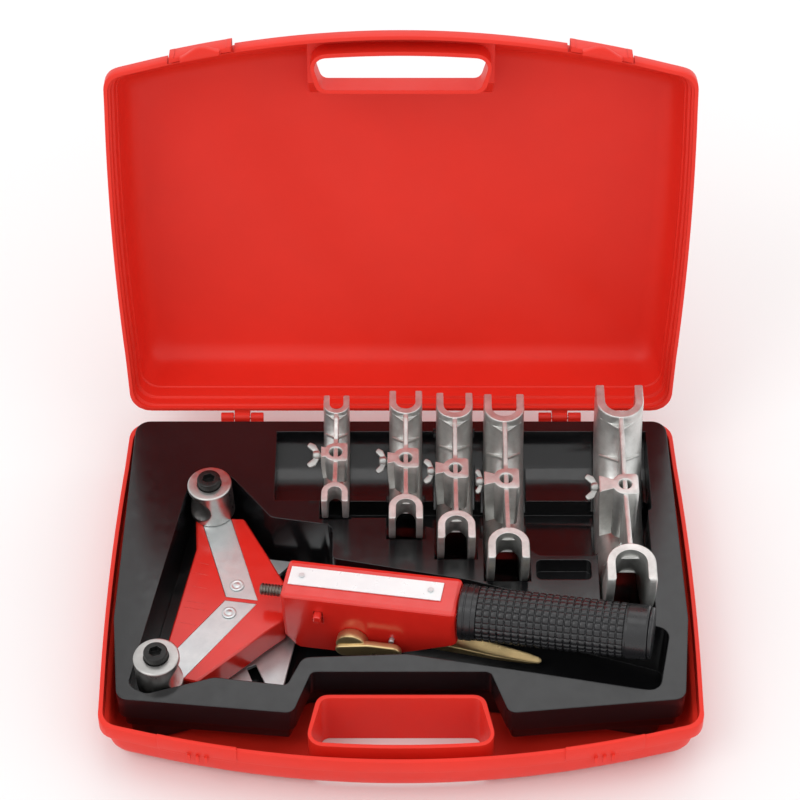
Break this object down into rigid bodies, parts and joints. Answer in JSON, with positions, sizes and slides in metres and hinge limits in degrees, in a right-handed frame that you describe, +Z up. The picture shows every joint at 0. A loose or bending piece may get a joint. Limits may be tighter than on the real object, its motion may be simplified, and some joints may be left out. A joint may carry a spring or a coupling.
{
  "type": "ratchet tube bender set",
  "caption": "One-hand ratchet tube bender with half-round bending formers, stored in the moulded tray of a hinged plastic carry case.",
  "frame": {"origin": "middle of the case's underside, on the surface it stands on", "axes": "+X along the case's width towards the bender's grip, +Y towards the hinge, +Z up"},
  "size_m": [0.4212, 0.4459, 0.3559],
  "materials": {
    "red_plastic": "satin moulded",
    "black_tray": "glossy vacuum formed",
    "red_paint": "gloss paint",
    "zinc_steel": "zinc plated",
    "cast_steel": "satin machined casting",
    "black_steel": "black oxide",
    "dark_steel": "oiled hardened steel",
    "yellow_zinc": "yellow zinc plated",
    "cast_aluminium": "as cast, satin",
    "black_grip": "semi gloss",
    "silver_label": "blank satin label"
  },
  "bodies": {
    "case": {"case_base": "red_plastic", "tray": "black_tray", "hinge_pin_left": "zinc_steel", "hinge_pin_right": "zinc_steel"},
    "lid": {"case_lid": "red_plastic"},
    "latch_l": {"latch_left": "red_plastic"},
    "latch_r": {"latch_right": "red_plastic"},
    "former_10_body": {"former_10": "cast_aluminium"},
    "wing_screw_10_body": {"wing_screw_10": "zinc_steel"},
    "former_14_body": {"former_14": "cast_aluminium"},
    "wing_screw_14_body": {"wing_screw_14": "zinc_steel"},
    "former_16_body": {"former_16": "cast_aluminium"},
    "wing_screw_16_body": {"wing_screw_16": "zinc_steel"},
    "former_18_body": {"former_18": "cast_aluminium"},
    "wing_screw_18_body": {"wing_screw_18": "zinc_steel"},
    "former_22_body": {"former_22": "cast_aluminium"},
    "wing_screw_22_body": {"wing_screw_22": "zinc_steel"},
    "bender": {"head_box": "red_paint", "top_arm_back": "zinc_steel", "top_arm_front": "zinc_steel", "bottom_arm_back": "zinc_steel", "bottom_arm_front": "zinc_steel", "arm_rivet_back": "zinc_steel", "arm_rivet_front": "zinc_steel", "under_plate": "zinc_steel", "frame_bolt_front": "zinc_steel", "frame_bolt_rear": "zinc_steel", "shoe_screw_back": "black_steel", "shoe_screw_front": "black_steel", "shoe_spacer_back": "zinc_steel", "shoe_spacer_front": "zinc_steel", "shoe_nut_back": "zinc_steel", "shoe_nut_front": "zinc_steel", "housing": "red_paint", "housing_cover": "zinc_steel", "cover_screw_left": "zinc_steel", "cover_screw_right": "zinc_steel", "label_plate": "silver_label", "label_rivet_front": "zinc_steel", "label_rivet_rear": "zinc_steel", "rod_bush": "zinc_steel", "selector_stop_pin": "zinc_steel", "trigger_pin": "zinc_steel", "holding_pawl_pin": "zinc_steel", "trigger_spring": "zinc_steel", "grip_core": "zinc_steel", "grip_sleeve": "black_grip", "grip_cap": "black_grip"},
    "shoe_b": {"shoe_back": "cast_steel"},
    "shoe_f": {"shoe_front": "cast_steel"},
    "rod": {"ratchet_rod": "dark_steel"},
    "finger_lever": {"trigger": "yellow_zinc", "drive_pawl_pin": "zinc_steel"},
    "pawl_drive": {"drive_pawl": "dark_steel"},
    "pawl_holding": {"holding_pawl": "dark_steel"},
    "selector": {"selector_lever": "yellow_zinc"},
    "catch": {"catch_tab": "red_paint"}
  },
  "joints": [
    {"name": "lid_hinge", "type": "hinge", "parent": "case", "child": "lid", "pos_m": [0, 0.1613, 0.047], "axis": [-1, 0, 0], "range_deg": [-104, 0]},
    {"name": "latch_l_hinge", "type": "hinge", "parent": "lid", "child": "latch_l", "pos_m": [-0.14, 0.24269, 0.33955], "axis": [-0.9796, -0.0486, -0.1949], "range_deg": [0, 60]},
    {"name": "latch_r_hinge", "type": "hinge", "parent": "lid", "child": "latch_r", "pos_m": [0.14, 0.24269, 0.33955], "axis": [-0.9796, 0.0486, 0.1949], "range_deg": [0, 60]},
    {"name": "bender_lift", "type": "slide", "parent": "case", "child": "bender", "axis": [0, -0.0599, 0.9982], "range_m": [0, 0.12]},
    {"name": "shoe_b_spin", "type": "hinge", "parent": "bender", "child": "shoe_b", "pos_m": [-0.13923, 0.07472, 0.05523], "axis": [-0.0514, 0.0096, 0.9986], "continuous": true},
    {"name": "shoe_f_spin", "type": "hinge", "parent": "bender", "child": "shoe_f", "pos_m": [-0.16888, -0.08373, 0.05523], "axis": [-0.0514, 0.0096, 0.9986], "continuous": true},
    {"name": "rod_push", "type": "slide", "parent": "bender", "child": "rod", "axis": [-0.9816, 0.1837, -0.0523], "range_m": [0, 0.058]},
    {"name": "trigger_squeeze", "type": "hinge", "parent": "bender", "child": "finger_lever", "pos_m": [-0.0021, -0.03294, 0.03829], "axis": [-0.184, -0.9829, 0], "range_deg": [0, 13], "stiffness_Nm_per_rad": 0.6, "springref_deg": -20.05},
    {"name": "drive_pawl_hinge", "type": "hinge", "parent": "finger_lever", "child": "pawl_drive", "pos_m": [-0.00281, -0.03281, 0.05228], "axis": [-0.184, -0.9829, 0], "range_deg": [-14, 0]},
    {"name": "selector_turn", "type": "hinge", "parent": "bender", "child": "selector", "pos_m": [-0.03445, -0.04723, 0.04077], "axis": [-0.184, -0.9829, 0], "range_deg": [0, 60]},
    {"name": "holding_pawl_hinge", "type": "hinge", "parent": "bender", "child": "pawl_holding", "pos_m": [-0.03795, -0.02623, 0.0464], "axis": [-0.184, -0.9829, 0], "range_deg": [0, 13]},
    {"name": "catch_slide", "type": "slide", "parent": "bender", "child": "catch", "axis": [0.0514, -0.0096, -0.9986], "range_m": [0, 0.005], "stiffness_N_per_m": 60, "springref_m": -0.004},
    {"name": "former_10_lift", "type": "slide", "parent": "case", "child": "former_10_body", "axis": [0, 0, 1], "range_m": [0, 0.12]},
    {"name": "wing_screw_10_turn", "type": "hinge", "parent": "former_10_body", "child": "wing_screw_10_body", "pos_m": [-0.0678, 0.0945, 0.0788], "axis": [1, 0, 0], "continuous": true},
    {"name": "former_14_lift", "type": "slide", "parent": "case", "child": "former_14_body", "axis": [0, 0, 1], "range_m": [0, 0.12]},
    {"name": "wing_screw_14_turn", "type": "hinge", "parent": "former_14_body", "child": "wing_screw_14_body", "pos_m": [-0.0165, 0.0853, 0.0828], "axis": [1, 0, 0], "continuous": true},
    {"name": "former_16_lift", "type": "slide", "parent": "case", "child": "former_16_body", "axis": [0, 0, 1], "range_m": [0, 0.12]},
    {"name": "wing_screw_16_turn", "type": "hinge", "parent": "former_16_body", "child": "wing_screw_16_body", "pos_m": [0.0196, 0.0771, 0.0808], "axis": [1, 0, 0], "continuous": true},
    {"name": "former_18_lift", "type": "slide", "parent": "case", "child": "former_18_body", "axis": [0, 0, 1], "range_m": [0, 0.12]},
    {"name": "wing_screw_18_turn", "type": "hinge", "parent": "former_18_body", "child": "wing_screw_18_body", "pos_m": [0.0562, 0.0655, 0.0828], "axis": [1, 0, 0], "continuous": true},
    {"name": "former_22_lift", "type": "slide", "parent": "case", "child": "former_22_body", "axis": [0, 0, 1], "range_m": [0, 0.12]},
    {"name": "wing_screw_22_turn", "type": "hinge", "parent": "former_22_body", "child": "wing_screw_22_body", "pos_m": [0.141, 0.051, 0.0933], "axis": [1, 0, 0], "continuous": true}
  ],
  "couplings": [
    {"joint": "drive_pawl_hinge", "follows": "trigger_squeeze", "ratio": -1},
    {"joint": "holding_pawl_hinge", "follows": "selector_turn", "ratio": 0.2}
  ]
}
